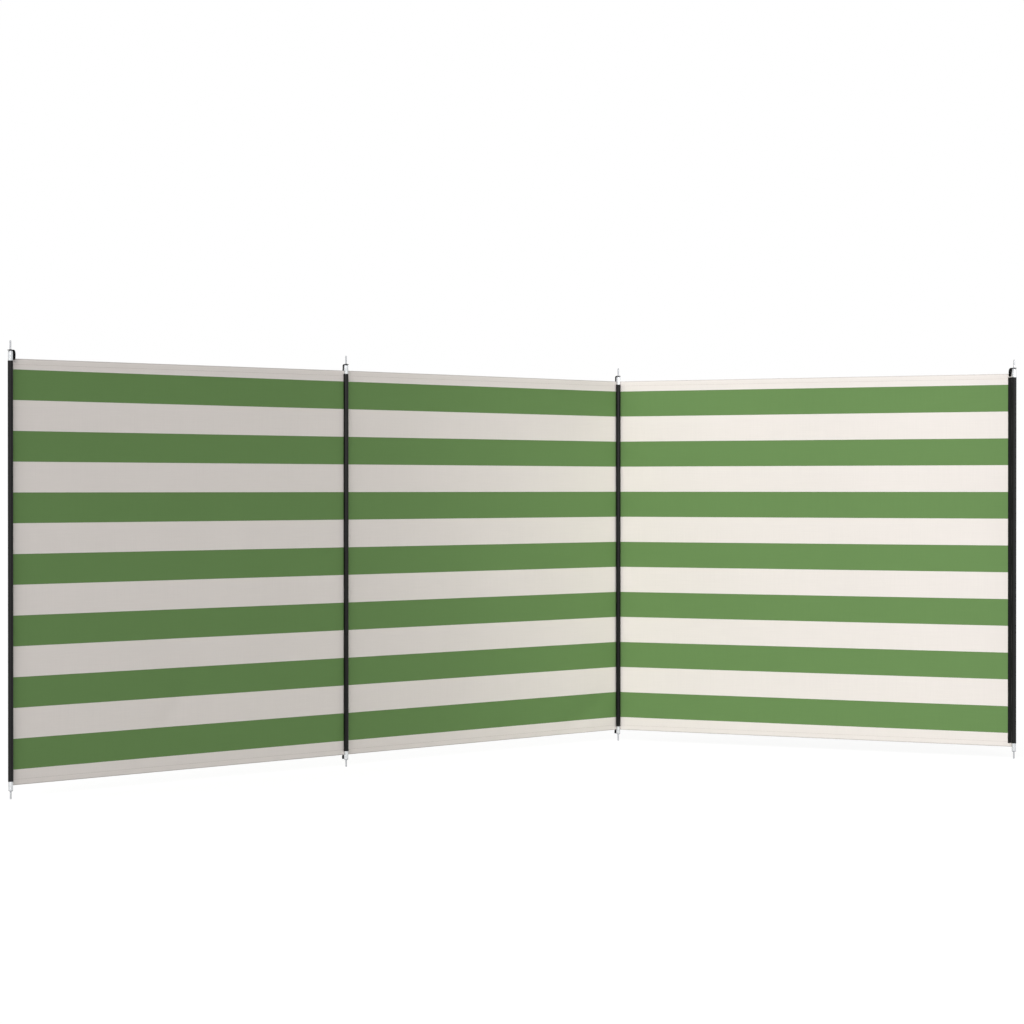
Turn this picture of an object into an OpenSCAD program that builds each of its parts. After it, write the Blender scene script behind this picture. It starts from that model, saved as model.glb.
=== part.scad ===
// A beach windbreak: three bays of striped cloth on four steel poles.
// Two bays stand in one straight line along X, and the third turns the corner and runs along -Y.
// The origin is on the corner pole's axis, at the flat shoulder of its foot. The front is -Y.
// In a bay's own plan, u runs out from the corner pole along the bay and v runs towards the back.

/* [Bays] */
// Distance from one pole's axis to the next
bay_w = 1790; // [900:10:2400]
// Height of the cloth from its bottom edge to its top edge
cloth_h = 1405; // [800:5:1800]
// Thickness of the cloth solid
cloth_t = 1.2; // [0.8:0.1:2]
// Height of the turned hem along the top and bottom edges
hem_h = 20; // [12:1:40]
// Cloth past the axis of each end pole
end_margin = 9; // [9:1:30]

/* [Poles] */
// Outer radius of the steel tube
pole_r = 8; // [8:0.5:14]
// Wall of the steel tube
pole_wall = 1; // [0.6:0.1:2]
// Height of the cloth's bottom edge above the foot's shoulder
foot_below = 18.5; // [16:0.5:60]
// Height of the pole's top shoulder above the cloth's top edge
head_above = 19.5; // [16:0.5:60]
// Radius of the rounded edge at each end of a pole
round_r = 4; // [2:0.5:4]
// Length of the plug inside the tube
plug_depth = 25; // [10:1:60]

/* [Pins] */
// Radius of the pin at each end of a pole
pin_r = 3; // [2:0.25:3.5]
// Length of the ground pin below the shoulder
foot_pin = 26; // [12:1:120]
// Length of the top pin above its boss
head_pin = 30; // [12:1:80]
// Extra radius of the boss at the root of the top pin
boss_step = 0.4; // [0.3:0.1:0.8]

/* [Sleeves] */
// Wall of the cloth sleeve
sleeve_wall = 0.7; // [0.5:0.1:2]
// How far a sleeve stops short of the cloth's top and bottom edges
sleeve_inset = 13.5; // [5:0.5:60]
// Reach of an end sleeve's stitched flap from the pole's axis
flap_reach = 30; // [16:1:60]

/* [Webbing] */
// Width of the webbing strap over a pole's top
strap_w = 12; // [8:1:14]
// Thickness of the webbing strap
strap_t = 2.2; // [1.2:0.2:3]
// Distance of an end strap's outer face from the pole's axis
strap_bulge = 19.7; // [17:0.5:30]
// Radius of an end strap's bend
strap_bend = 11; // [8:0.5:14]
// Height of the tail that joins an end strap to the hem
tail_h = 7; // [3:0.5:8]
// Radius of the eyelet's flange
eyelet_r = 5.4; // [4.8:0.2:6]
// Thickness of the eyelet's flange
eyelet_t = 0.6; // [0.4:0.1:1]
// Wall of the eyelet's barrel
eyelet_wall = 0.6; // [0.4:0.1:0.8]
// Width of the webbing in a peg loop
loop_w = 10; // [6:1:14]
// Thickness of the webbing in a peg loop
loop_t = 1; // [0.8:0.1:1.6]
// Outer depth of a peg loop, front to back
loop_d = 6.6; // [6.6:0.2:14]
// Length of a peg loop below the cloth's bottom edge
loop_h = 16; // [12:0.5:30]

/* [Folds] */
// Distance of the straight fold from the second pole's axis
fold_off = 16; // [15:1:40]
// Radius about the corner pole's axis at which the third bay's cloth begins
corner_r = 19; // [17:0.5:30]

/* [Clearances] */
// Gap between a tube and its cloth sleeve
sleeve_gap = 0.2; // [0.1:0.05:0.5]
// Gap between a sleeve and the cloth behind it
cloth_gap = 0.3; // [0.2:0.05:0.5]
// Gap between a panel and its hems, and between a hem and its webbing
seam_gap = 0.2; // [0.1:0.05:0.4]
// Gap between a tube's end and its plug's flange
plug_gap = 0.1; // [0.05:0.05:0.3]
// Gap around a plug inside its tube
plug_fit = 0.1; // [0.05:0.05:0.3]
// Gap between a strap and the pole's head
strap_gap = 0.3; // [0.2:0.05:0.5]
// Gap between an eyelet and the boss inside it
eyelet_gap = 0.2; // [0.1:0.05:0.3]
// Gap between the moving edges of the cloth
fold_gap = 0.3; // [0.2:0.05:0.4]
// Half of the gap between the two cloths at the straight fold
fold_half_gap = 0.4; // [0.35:0.05:0.45]

/* [Hidden] */
$fn = 48;
cloth_z0 = foot_below;
cloth_z1 = cloth_z0 + cloth_h;
pole_top = cloth_z1 + head_above;
sleeve_in = pole_r + sleeve_gap;
sleeve_r = sleeve_in + sleeve_wall;
cloth_v0 = sleeve_r + cloth_gap;
cloth_v1 = cloth_v0 + cloth_t;
sleeve_z0 = cloth_z0 + sleeve_inset;
sleeve_h = cloth_h - 2 * sleeve_inset;
hem_z1 = cloth_z1 - hem_h;
panel_z0 = cloth_z0 + hem_h + seam_gap;
panel_h = cloth_h - 2 * (hem_h + seam_gap);
fold_u = bay_w + fold_off;
boss_r = pin_r + boss_step;
strap_z0 = pole_top + strap_gap;
strap_z1 = strap_z0 + strap_t;
boss_z1 = strap_z1 + eyelet_t + strap_gap;
eyelet_in = boss_r + eyelet_gap;
barrel_r = eyelet_in + eyelet_wall;
tail_z0 = cloth_z1 + seam_gap;
// How far an end strap's tail reaches under the strap
tail_lap = 1;
// Where the opening of a peg loop narrows to its peak, in thicknesses of webbing
peak_drop = 1.4;
peak_step = 0.9;
// Extra length of a cutter past the faces that it cuts
cut = 1;
arc_steps = 10;

// Turns a plan in u and v onto the straight line of bays 1 and 2
module along_left() {
  mirror([1, 0, 0]) children();
}

// Turns a plan in u and v onto the bay past the corner
module along_right() {
  rotate([0, 0, -90]) children();
}

// Puts a piece at one of the four poles, numbered from the left
module at_pole(number) {
  if (number < 4) translate([(number - 3) * bay_w, 0, 0]) children();
  else translate([0, -bay_w, 0]) children();
}

// Plan of the left bay's cloth, with a sloping edge at the fold
module left_plan() {
  near = fold_u + fold_half_gap;
  far = 2 * bay_w + end_margin;
  polygon([[near, cloth_v1], [near + cloth_t, cloth_v0], [far, cloth_v0], [far, cloth_v1]]);
}

// Plan of the middle bay's cloth, from behind the corner pole to the fold
module middle_plan() {
  far = fold_u - fold_half_gap;
  polygon([[seam_gap, cloth_v0], [far - cloth_t, cloth_v0], [far, cloth_v1], [seam_gap, cloth_v1]]);
}

// Plan of the right bay's cloth, whose near edge is round about the corner pole
module right_plan() {
  difference() {
    translate([pole_r, cloth_v0]) square([bay_w + end_margin - pole_r, cloth_t]);
    circle(r = corner_r);
  }
}

// Plan of the cloth that wraps the back of the corner pole
module corner_plan() {
  intersection() {
    circle(r = corner_r - fold_gap);
    union() {
      translate([cloth_v0, -corner_r]) square([cloth_t, corner_r]);
      intersection() {
        difference() {
          circle(r = cloth_v1);
          circle(r = cloth_v0);
        }
        square(2 * corner_r);
      }
    }
  }
}

module panel_of() {
  translate([0, 0, panel_z0]) linear_extrude(panel_h) children();
}

module top_hem_of() {
  translate([0, 0, hem_z1]) linear_extrude(hem_h) children();
}

module bottom_hem_of() {
  translate([0, 0, cloth_z0]) linear_extrude(hem_h) children();
}

module left_panel() {
  color("olivedrab") along_left() panel_of() left_plan();
}

module middle_panel() {
  color("olivedrab") along_left() panel_of() middle_plan();
}

module right_panel() {
  color("olivedrab") along_right() panel_of() right_plan();
}

module corner_cloth() {
  color("olivedrab") translate([0, 0, cloth_z0]) linear_extrude(cloth_h) corner_plan();
}

module left_top_hem() {
  color("linen") along_left() top_hem_of() left_plan();
}

module middle_top_hem() {
  color("linen") along_left() top_hem_of() middle_plan();
}

module right_top_hem() {
  color("linen") along_right() top_hem_of() right_plan();
}

module left_bottom_hem() {
  color("linen") along_left() bottom_hem_of() left_plan();
}

module middle_bottom_hem() {
  color("linen") along_left() bottom_hem_of() middle_plan();
}

module right_bottom_hem() {
  color("linen") along_right() bottom_hem_of() right_plan();
}

// A steel tube between the flanges of its two plugs
module pole(number) {
  z0 = round_r + plug_gap;
  z1 = pole_top - round_r - plug_gap;
  color("silver") at_pole(number) translate([0, 0, z0]) difference() {
    cylinder(r = pole_r, h = z1 - z0);
    translate([0, 0, -cut]) cylinder(r = pole_r - pole_wall, h = z1 - z0 + 2 * cut);
  }
}

// A round-edged plug with its flat shoulder at z = 0 and its stem pointing up
module plug() {
  stem_r = pole_r - pole_wall - plug_fit;
  rotate_extrude() {
    square([pole_r - round_r, round_r]);
    intersection() {
      translate([pole_r - round_r, round_r]) circle(r = round_r);
      translate([pole_r - round_r, 0]) square([round_r, round_r]);
    }
    translate([0, round_r]) square([stem_r, plug_depth]);
  }
}

// A pin of a length that starts at z = 0 and ends in a half ball
module pin(length) {
  cylinder(r = pin_r, h = length - pin_r);
  translate([0, 0, length - pin_r]) sphere(r = pin_r);
}

module foot_pin(number) {
  color("gainsboro") at_pole(number) union() {
    plug();
    mirror([0, 0, 1]) pin(foot_pin);
  }
}

module top_pin(number) {
  color("gainsboro") at_pole(number) union() {
    translate([0, 0, pole_top]) mirror([0, 0, 1]) plug();
    translate([0, 0, pole_top]) cylinder(r = boss_r, h = boss_z1 - pole_top);
    translate([0, 0, boss_z1]) pin(head_pin);
  }
}

// The cloth tube round a middle pole
module middle_sleeve(number) {
  color("dimgray") at_pole(number) translate([0, 0, sleeve_z0]) difference() {
    cylinder(r = sleeve_r, h = sleeve_h);
    translate([0, 0, -cut]) cylinder(r = sleeve_in, h = sleeve_h + 2 * cut);
  }
}

// Turns a piece with its bay on the -X side to the bay of pole 1 or pole 4
module at_end(number) {
  at_pole(number) if (number == 1) mirror([1, 0, 0]) children();
  else along_right() children();
}

// The cloth tube round an end pole, with a flap along the cloth on the bay's side
module end_sleeve(number) {
  color("dimgray") at_end(number) translate([0, 0, sleeve_z0]) difference() {
    union() {
      cylinder(r = sleeve_r, h = sleeve_h);
      translate([-flap_reach, sleeve_r - sleeve_wall, 0]) cube([flap_reach, sleeve_wall, sleeve_h]);
    }
    translate([0, 0, -cut]) cylinder(r = sleeve_in, h = sleeve_h + 2 * cut);
  }
}

// Points of an arc about a centre, from one angle to another
function arc(centre, r, a0, a1) = [
  for (i = [0 : arc_steps])
    let (a = a0 + (a1 - a0) * i / arc_steps)
      [centre[0] + r * cos(a), centre[1] + r * sin(a)]
];

// A band that rises at x1, bends over to the left and ends at x0, as an outline in x and z
module strap_outline(x0, x1, z_foot, bend_centre, bend_r) {
  polygon(concat(
    [[x0, strap_z1]],
    [[x0, strap_z0]],
    arc(bend_centre, bend_r - strap_t, 90, 0),
    [[x1 - strap_t, z_foot], [x1, z_foot]],
    arc(bend_centre, bend_r, 0, 90)
  ));
}

// Stands an outline in x and z upright, as wide as the strap and centred on y = 0
module strap_solid() {
  rotate([90, 0, 0]) linear_extrude(strap_w, center = true) children();
}

module strap_hole() {
  translate([0, 0, pole_top]) cylinder(r = barrel_r + strap_gap, h = strap_z1 - pole_top + cut);
}

// The strap of a middle pole, which rises close behind the tube
module middle_strap(number) {
  x1 = pole_r + strap_gap + strap_t;
  bend_r = round_r + strap_gap + strap_t;
  centre = [x1 - bend_r, strap_z1 - bend_r];
  color("dimgray") at_pole(number) rotate([0, 0, 90]) difference() {
    strap_solid() strap_outline(-pole_r, x1, tail_z0, centre, bend_r);
    strap_hole();
  }
}

// The strap of an end pole, which bends down to the hem on the bay's side
module end_strap(number) {
  centre = [strap_bulge - strap_bend, strap_z1 - strap_bend];
  tail_v0 = strap_w / 2 - tail_lap;
  color("dimgray") at_end(number) difference() {
    mirror([1, 0, 0]) union() {
      strap_solid() strap_outline(-pole_r, strap_bulge, tail_z0, centre, strap_bend);
      translate([strap_bulge - strap_t, tail_v0, tail_z0]) cube([strap_t, cloth_v1 - tail_v0, tail_h]);
    }
    strap_hole();
  }
}

// A flanged ring in the strap, round the boss of the top pin
module eyelet(number) {
  color("darkslategray") at_pole(number) rotate_extrude() {
    translate([eyelet_in, strap_z0]) square([barrel_r - eyelet_in, strap_t + eyelet_t]);
    translate([eyelet_in, strap_z1]) square([eyelet_r - eyelet_in, eyelet_t]);
  }
}

// The outline of a peg loop: a straight front leg and a back leg that swells out, in v and z
function loop_outline(inset) =
  let (
    r = loop_d / 2 - inset,
    cv = cloth_v0 + loop_d / 2,
    cz = cloth_z0 - seam_gap - loop_h + loop_d / 2,
    top = cloth_z0 - seam_gap - inset * peak_drop,
    foot_v = cloth_v0 + 2 * loop_t - inset * peak_step
  )
  concat(
    [[cloth_v0 + inset, top]],
    arc([cv, cz], r, 180, 360),
    [[cv + r, cz + loop_d], [foot_v, top]]
  );

module peg_loop(number) {
  color("dimgray") at_pole(number) rotate([90, 0, 90]) linear_extrude(loop_w, center = true) difference() {
    polygon(loop_outline(0));
    polygon(loop_outline(loop_t));
  }
}

left_panel();
middle_panel();
right_panel();
corner_cloth();
left_top_hem();
middle_top_hem();
right_top_hem();
left_bottom_hem();
middle_bottom_hem();
right_bottom_hem();
pole(1);  // pole_1
pole(2);  // pole_2
pole(3);  // pole_3
pole(4);  // pole_4
end_sleeve(1);  // sleeve_1
middle_sleeve(2);  // sleeve_2
middle_sleeve(3);  // sleeve_3
end_sleeve(4);  // sleeve_4
foot_pin(1);  // foot_pin_1
foot_pin(2);  // foot_pin_2
foot_pin(3);  // foot_pin_3
foot_pin(4);  // foot_pin_4
top_pin(1);  // top_pin_1
top_pin(2);  // top_pin_2
top_pin(3);  // top_pin_3
top_pin(4);  // top_pin_4
end_strap(1);  // strap_1
middle_strap(2);  // strap_2
middle_strap(3);  // strap_3
end_strap(4);  // strap_4
eyelet(1);  // eyelet_1
eyelet(2);  // eyelet_2
eyelet(3);  // eyelet_3
eyelet(4);  // eyelet_4
peg_loop(2);  // peg_loop_2
peg_loop(3);  // peg_loop_3
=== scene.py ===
# %% [markdown]
# # A beach windbreak in Blender
# A windbreak is a long strip of striped cloth held up by poles that are pushed into the sand.
# The steel tubes, their pins and the eyelets come from the CAD model. The cloth, its hems,
# sleeves, straps and stitches are made here, because woven things are thin sheets with soft
# edges, which a solid model can only stand in for.

# %% Load the fixed frame
import math
import bpy
from mathutils import Matrix, Vector


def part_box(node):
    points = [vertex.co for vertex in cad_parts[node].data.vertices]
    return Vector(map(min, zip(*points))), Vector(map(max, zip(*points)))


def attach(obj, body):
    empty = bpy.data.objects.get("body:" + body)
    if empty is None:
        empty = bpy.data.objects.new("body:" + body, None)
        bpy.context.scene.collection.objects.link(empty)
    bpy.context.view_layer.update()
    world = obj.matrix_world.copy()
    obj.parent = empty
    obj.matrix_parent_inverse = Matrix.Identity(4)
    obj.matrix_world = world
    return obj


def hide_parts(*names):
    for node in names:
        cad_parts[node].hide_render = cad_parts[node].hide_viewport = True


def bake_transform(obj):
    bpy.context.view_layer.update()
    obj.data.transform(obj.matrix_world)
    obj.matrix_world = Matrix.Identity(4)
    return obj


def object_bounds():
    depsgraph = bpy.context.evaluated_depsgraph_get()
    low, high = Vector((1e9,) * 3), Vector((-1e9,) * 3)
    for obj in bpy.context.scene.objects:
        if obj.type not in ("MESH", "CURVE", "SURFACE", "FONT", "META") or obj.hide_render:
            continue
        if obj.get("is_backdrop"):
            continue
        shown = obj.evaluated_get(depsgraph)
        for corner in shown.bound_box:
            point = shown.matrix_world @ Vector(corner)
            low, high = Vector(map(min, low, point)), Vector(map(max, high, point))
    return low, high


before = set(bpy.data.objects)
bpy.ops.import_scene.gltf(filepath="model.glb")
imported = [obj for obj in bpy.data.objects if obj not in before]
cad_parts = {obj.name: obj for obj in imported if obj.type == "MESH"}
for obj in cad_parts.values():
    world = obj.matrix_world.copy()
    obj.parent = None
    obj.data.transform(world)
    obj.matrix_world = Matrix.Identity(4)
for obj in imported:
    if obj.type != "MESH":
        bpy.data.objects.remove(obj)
CAD_BOX = [list(corner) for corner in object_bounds()]
print("CAD box in metres:", CAD_BOX)

# %% [markdown]
# ## Places and sizes
# Every place is read from the boxes of the CAD pieces, so nothing has to be fitted by eye.
# "Run" is the distance along the cloth from the corner pole: negative along the two straight
# bays, positive past the corner. "Depth" is the distance behind the poles' axes.

# %% Read the places of the poles and the cloth
MM = 0.001
pole_box = {number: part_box(f"pole_{number}") for number in (1, 2, 3, 4)}
POLE = {n: Vector(((low.x + high.x) / 2, (low.y + high.y) / 2, 0)) for n, (low, high) in pole_box.items()}
BAY = POLE[3].x - POLE[2].x
CLOTH_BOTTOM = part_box("middle_bottom_hem")[0].z
CLOTH_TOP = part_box("middle_top_hem")[1].z
CLOTH_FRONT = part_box("middle_panel")[0].y
END_MARGIN = 1.5 * MM
LEFT_END = POLE[1].x - END_MARGIN
RIGHT_END = -POLE[4].y + END_MARGIN
FOLD_RUN = (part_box("left_panel")[1].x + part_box("middle_panel")[0].x) / 2
SLEEVE_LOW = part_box("sleeve_2")[0].z
SLEEVE_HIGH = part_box("sleeve_2")[1].z
SLEEVE_OUT = (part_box("sleeve_2")[1].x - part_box("sleeve_2")[0].x) / 2
STRAP_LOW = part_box("eyelet_2")[0].z
STRAP_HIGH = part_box("strap_2")[1].z
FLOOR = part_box("foot_pin_3")[0].z
print(f"bay {BAY:.3f} m, cloth from {CLOTH_BOTTOM:.4f} to {CLOTH_TOP:.4f} m, fold at {FOLD_RUN:.3f} m")

# %% [markdown]
# ## The camera
# A long lens from far away keeps the stripes almost parallel, as a catalogue view does. The
# camera stands at two thirds of the cloth's height and looks nearly level, so the top edge
# and the bottom edge both slope gently towards the corner.

# %% Set up the camera
CAMERA_PLACE = (-12.862, -8.5832, 0.9913)
CAMERA_YAW = 35.3045
CAMERA_PITCH = -0.3507
LENS_MM = 134.73
SENSOR_MM = 36

camera = bpy.data.objects.new("camera", bpy.data.cameras.new("camera"))
bpy.context.scene.collection.objects.link(camera)
camera.data.sensor_width = SENSOR_MM
camera.data.lens = LENS_MM
camera.location = CAMERA_PLACE
camera.rotation_euler = (math.radians(90 + CAMERA_PITCH), 0, math.radians(CAMERA_YAW - 90))
bpy.context.scene.camera = camera
bpy.context.scene.view_settings.view_transform = "Standard"
print("camera at", CAMERA_PLACE, "with a lens of", LENS_MM, "mm")

# %% [markdown]
# ## Small helpers for materials
# Colours are picked as sRGB hex values, but the renderer works with linear light, so one
# function turns the first into the second. Another adds a node, fills in its settings and
# links its sockets, which keeps a material readable from its colour down to its shader. A
# third starts a material, and a fourth gives its shader a colour and a relief. The last tells
# what the camera sees, directly or in a reflection, from what only lights the cloth.

# %% Define the material helpers
def linear(hex_colour):
    """Turn an sRGB hex colour into linear light with full alpha."""
    channels = [int(hex_colour[i:i + 2], 16) / 255 for i in (1, 3, 5)]
    light = [c / 12.92 if c <= 0.04045 else ((c + 0.055) / 1.055) ** 2.4 for c in channels]
    return (*light, 1)


def add_node(tree, kind, sockets=None, **settings):
    """Add one node: settings are its fields, and sockets are values or links for its inputs."""
    node = tree.nodes.new(kind)
    for field, value in settings.items():
        setattr(node, field, value)
    for socket, value in (sockets or {}).items():
        if isinstance(value, bpy.types.NodeSocket):
            tree.links.new(value, node.inputs[socket])
        else:
            node.inputs[socket].default_value = value
    return node


def new_material(name, values=()):
    """Start a material whose one shader has these values, and return it with its tree and shader."""
    material = bpy.data.materials.new(name)
    material.use_nodes = True
    surface = material.node_tree.nodes["Principled BSDF"]
    for socket, value in dict(values).items():
        surface.inputs[socket].default_value = value
    return material, material.node_tree, surface


def dye_and_emboss(tree, surface, colour, shade, relief=None, deep=0, strength=0):
    """Give a shader its colour, made lighter and darker by shade, and a relief this deep in metres."""
    shaded = add_node(tree, "ShaderNodeVectorMath", {0: colour, "Scale": shade}, operation="SCALE")
    tree.links.new(shaded.outputs[0], surface.inputs["Base Color"])
    if relief is not None:
        bump = add_node(tree, "ShaderNodeBump", {"Height": relief, "Distance": deep, "Strength": strength})
        tree.links.new(bump.outputs[0], surface.inputs["Normal"])


def seen_directly(tree):
    """1 for a ray from the camera, off gloss or through glass, and 0 for one that lights a surface."""
    ray = add_node(tree, "ShaderNodeLightPath").outputs
    seen = add_node(tree, "ShaderNodeMath", {0: ray["Is Camera Ray"], 1: ray["Is Glossy Ray"]},
                    operation="MAXIMUM")
    seen = add_node(tree, "ShaderNodeMath", {0: seen.outputs[0], 1: ray["Is Transmission Ray"]},
                    operation="MAXIMUM")
    return seen.outputs[0]


print("the mid grey #808080 is", round(linear("#808080")[0], 3), "in linear light")

# %% [markdown]
# ## Soft studio light
# The windbreak stands in a white studio. The sky is a plain white to the camera, and a gentle
# light to the cloth: it comes from all round except from the right of the front, so the third
# bay, which faces left, is brightest, and the two straight bays are a quiet tone darker. One
# wide, soft lamp beside the camera lights all of it, and a second one in front of the corner
# lifts the cloth there, with no hard rim to its pool of light.

# %% Light the studio
SKY_LIGHT = 0.78
DIM_LIGHT = 0.05
DIM_SIDE = (0.707, -0.707, 0)
DIM_FROM = 0.05
DIM_FULL = 0.75

world = bpy.data.worlds.new("studio")
bpy.context.scene.world = world
world.use_nodes = True
sky = world.node_tree
sky.nodes.clear()
direction = add_node(sky, "ShaderNodeTexCoord")
towards_dim = add_node(sky, "ShaderNodeVectorMath", {0: direction.outputs["Generated"], 1: DIM_SIDE},
                       operation="DOT_PRODUCT")
side_light = add_node(sky, "ShaderNodeMapRange", {
    "Value": towards_dim.outputs["Value"], "From Min": DIM_FROM, "From Max": DIM_FULL,
    "To Min": SKY_LIGHT, "To Max": DIM_LIGHT}, interpolation_type="SMOOTHSTEP")
soft = add_node(sky, "ShaderNodeBackground", {"Color": (1, 1, 1, 1), "Strength": side_light.outputs[0]})
white = add_node(sky, "ShaderNodeBackground", {"Color": (1, 1, 1, 1), "Strength": 1.0})
mixed = add_node(sky, "ShaderNodeMixShader", {
    0: seen_directly(sky), 1: soft.outputs[0], 2: white.outputs[0]})
add_node(sky, "ShaderNodeOutputWorld", {"Surface": mixed.outputs[0]})

KEY_LIGHT = 0.51
KEY_AZIMUTH = 29.5
KEY_HEIGHT = 24
KEY_SPREAD = 40
lamp = bpy.data.objects.new("soft_lamp", bpy.data.lights.new("soft_lamp", "SUN"))
bpy.context.scene.collection.objects.link(lamp)
lamp.data.energy = KEY_LIGHT * math.pi
lamp.data.angle = math.radians(KEY_SPREAD)
lamp.rotation_euler = (math.radians(90 - KEY_HEIGHT), 0, math.radians(KEY_AZIMUTH - 90))

FILL_PLACE = Vector((-0.5, -6.5, 1.5))
FILL_AIM = Vector((0.45, 0, 1.5))
FILL_WATTS = 252
FILL_CONE = 42
FILL_SIZE = 0.6
fill = bpy.data.objects.new("corner_lamp", bpy.data.lights.new("corner_lamp", "SPOT"))
bpy.context.scene.collection.objects.link(fill)
fill.data.energy = FILL_WATTS
fill.data.shadow_soft_size = FILL_SIZE
fill.data.spot_size = math.radians(FILL_CONE)
fill.data.spot_blend = 1.0
fill.location = FILL_PLACE
fill.rotation_euler = (FILL_AIM - FILL_PLACE).to_track_quat("-Z", "Y").to_euler()
print("sky", SKY_LIGHT, "and lamp", KEY_LIGHT, "of a full white, corner lamp", FILL_WATTS, "W")

# %% [markdown]
# ## The floor
# The floor is a plain pale sheet that reaches past the horizon. To the camera, and in
# reflections, it is almost white, with just enough of its real shading left in to keep the
# windbreak's own shadow. To the cloth it is an ordinary pale floor.

# %% Lay the floor
FLOOR_SIDE = 160
FLOOR_GREY = 0.62
SHADING_LEFT = 0.22
FLOOR_GLOW = 0.86

bpy.ops.object.select_all(action="DESELECT")
bpy.ops.mesh.primitive_plane_add(size=FLOOR_SIDE, location=(0, 0, FLOOR))
floor = bpy.context.object
floor.name = "floor"
bpy.ops.object.transform_apply(location=True, rotation=True, scale=True)
floor_paint, tree, surface = new_material("matt_floor_paint")
tree.nodes.remove(surface)
plain = add_node(tree, "ShaderNodeBsdfDiffuse", {"Color": (FLOOR_GREY, FLOOR_GREY, FLOOR_GREY, 1)})
faint = add_node(tree, "ShaderNodeBsdfDiffuse", {"Color": (SHADING_LEFT, SHADING_LEFT, SHADING_LEFT, 1)})
glow = add_node(tree, "ShaderNodeEmission", {"Color": (1, 1, 1, 1), "Strength": FLOOR_GLOW})
pale = add_node(tree, "ShaderNodeAddShader", {0: faint.outputs[0], 1: glow.outputs[0]})
mixed = add_node(tree, "ShaderNodeMixShader", {
    0: seen_directly(tree), 1: plain.outputs[0], 2: pale.outputs[0]})
tree.links.new(mixed.outputs[0], tree.nodes["Material Output"].inputs["Surface"])
floor.data.materials.append(floor_paint)
floor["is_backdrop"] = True
print("floor at", round(FLOOR, 4), "m, where the ground pins end")

# %% [markdown]
# ## Woven cloth, as a pattern
# Plain cloth is a grid of yarns that pass over and under each other. Two ridges, one for each
# direction, and a chequer that says which yarn is on top, give that surface. The yarns of
# real tent cloth are about 0.5 mm apart, which is too fine to show, so they are drawn wider.
# Yarns are never quite even either, so long thin streaks of noise follow both directions.

# %% Define the weave
REAL_YARN_MM = 0.5
YARN_MM = 1.6
STREAK_MM = 3.5
STREAK_LENGTH = 40
CLOUDS_PER_METRE = 2.5


def weave(tree, yarn_mm, streak_mm):
    """Return the height of a plain weave and a brightness that varies from yarn to yarn."""
    flat = add_node(tree, "ShaderNodeUVMap", uv_map="flat").outputs["UV"]
    yarns = add_node(tree, "ShaderNodeVectorMath", {0: flat, "Scale": 1 / (yarn_mm * MM)},
                     operation="SCALE").outputs[0]
    parts = add_node(tree, "ShaderNodeSeparateXYZ", {0: yarns}).outputs
    warp = add_node(tree, "ShaderNodeMath", {0: parts["X"], 1: 0.5}, operation="PINGPONG").outputs[0]
    weft = add_node(tree, "ShaderNodeMath", {0: parts["Y"], 1: 0.5}, operation="PINGPONG").outputs[0]
    over = add_node(tree, "ShaderNodeTexChecker", {"Vector": yarns, "Scale": 1.0}).outputs["Fac"]
    height = add_node(tree, "ShaderNodeMix", {0: over, 2: warp, 3: weft}).outputs[0]
    fine = 1 / (streak_mm * MM)
    uneven = add_node(tree, "ShaderNodeTexNoise", {
        "Vector": flat, "Scale": CLOUDS_PER_METRE, "Detail": 3.0}).outputs["Fac"]
    for stretch in ((fine / STREAK_LENGTH, fine, 1), (fine, fine / STREAK_LENGTH, 1)):
        along = add_node(tree, "ShaderNodeMapping", {"Vector": flat, "Scale": stretch}).outputs[0]
        streaks = add_node(tree, "ShaderNodeTexNoise", {"Vector": along, "Scale": 1.0, "Detail": 2.0})
        uneven = add_node(tree, "ShaderNodeMath", {0: uneven, 1: streaks.outputs["Fac"]}).outputs[0]
    return height, uneven


print(f"yarns drawn {YARN_MM} mm apart, {YARN_MM / REAL_YARN_MM:.1f} times as coarse as real ones")

# %% [markdown]
# ## Striped polyester
# The stripes are woven in, so they have straight, sharp edges and lie exactly along the yarns.
# The bottom band is 51 mm high, then come thirteen stripes of 101 mm that start and end with
# green, and the rest at the top is off-white again. Polyester is matt with a faint gloss. A thin
# line along each folded edge is painted darker, as painted shade where the cloth turns over.

# %% Make the striped polyester
STRIPE_MM = 101.0
FIRST_STRIPE_MM = 51.0
STRIPES = 13
GREEN = "#6E9058"
OFF_WHITE = "#F2EBE6"
# Width and strength of the painted shade along the folded edges
PAINTED_SHADE_MM = 1.5
PAINTED_SHADE_END_MM = 3.2
PAINTED_SHADE_LEVEL = 0.72

striped, tree, surface = new_material("striped_polyester", {
    "Roughness": 0.75, "Specular IOR Level": 0.08})
yarn_height, uneven = weave(tree, YARN_MM, STREAK_MM)
flat = add_node(tree, "ShaderNodeUVMap", uv_map="flat").outputs["UV"]
up_cloth = add_node(tree, "ShaderNodeSeparateXYZ", {0: flat}).outputs["Y"]
stripe = add_node(tree, "ShaderNodeMapRange", {
    "Value": up_cloth, "From Min": FIRST_STRIPE_MM * MM, "To Min": 0, "To Max": STRIPES,
    "From Max": (FIRST_STRIPE_MM + STRIPES * STRIPE_MM) * MM}, clamp=False).outputs[0]
half = add_node(tree, "ShaderNodeMath", {0: stripe, 1: 0.5}, operation="MULTIPLY").outputs[0]
part = add_node(tree, "ShaderNodeMath", {0: half}, operation="FRACT").outputs[0]
is_green = add_node(tree, "ShaderNodeMath", {0: part, 1: 0.5}, operation="LESS_THAN").outputs[0]
above = add_node(tree, "ShaderNodeMath", {0: stripe, 1: 0.0}, operation="GREATER_THAN").outputs[0]
below = add_node(tree, "ShaderNodeMath", {0: stripe, 1: STRIPES}, operation="LESS_THAN").outputs[0]
inside = add_node(tree, "ShaderNodeMath", {0: above, 1: below}, operation="MULTIPLY").outputs[0]
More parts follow.
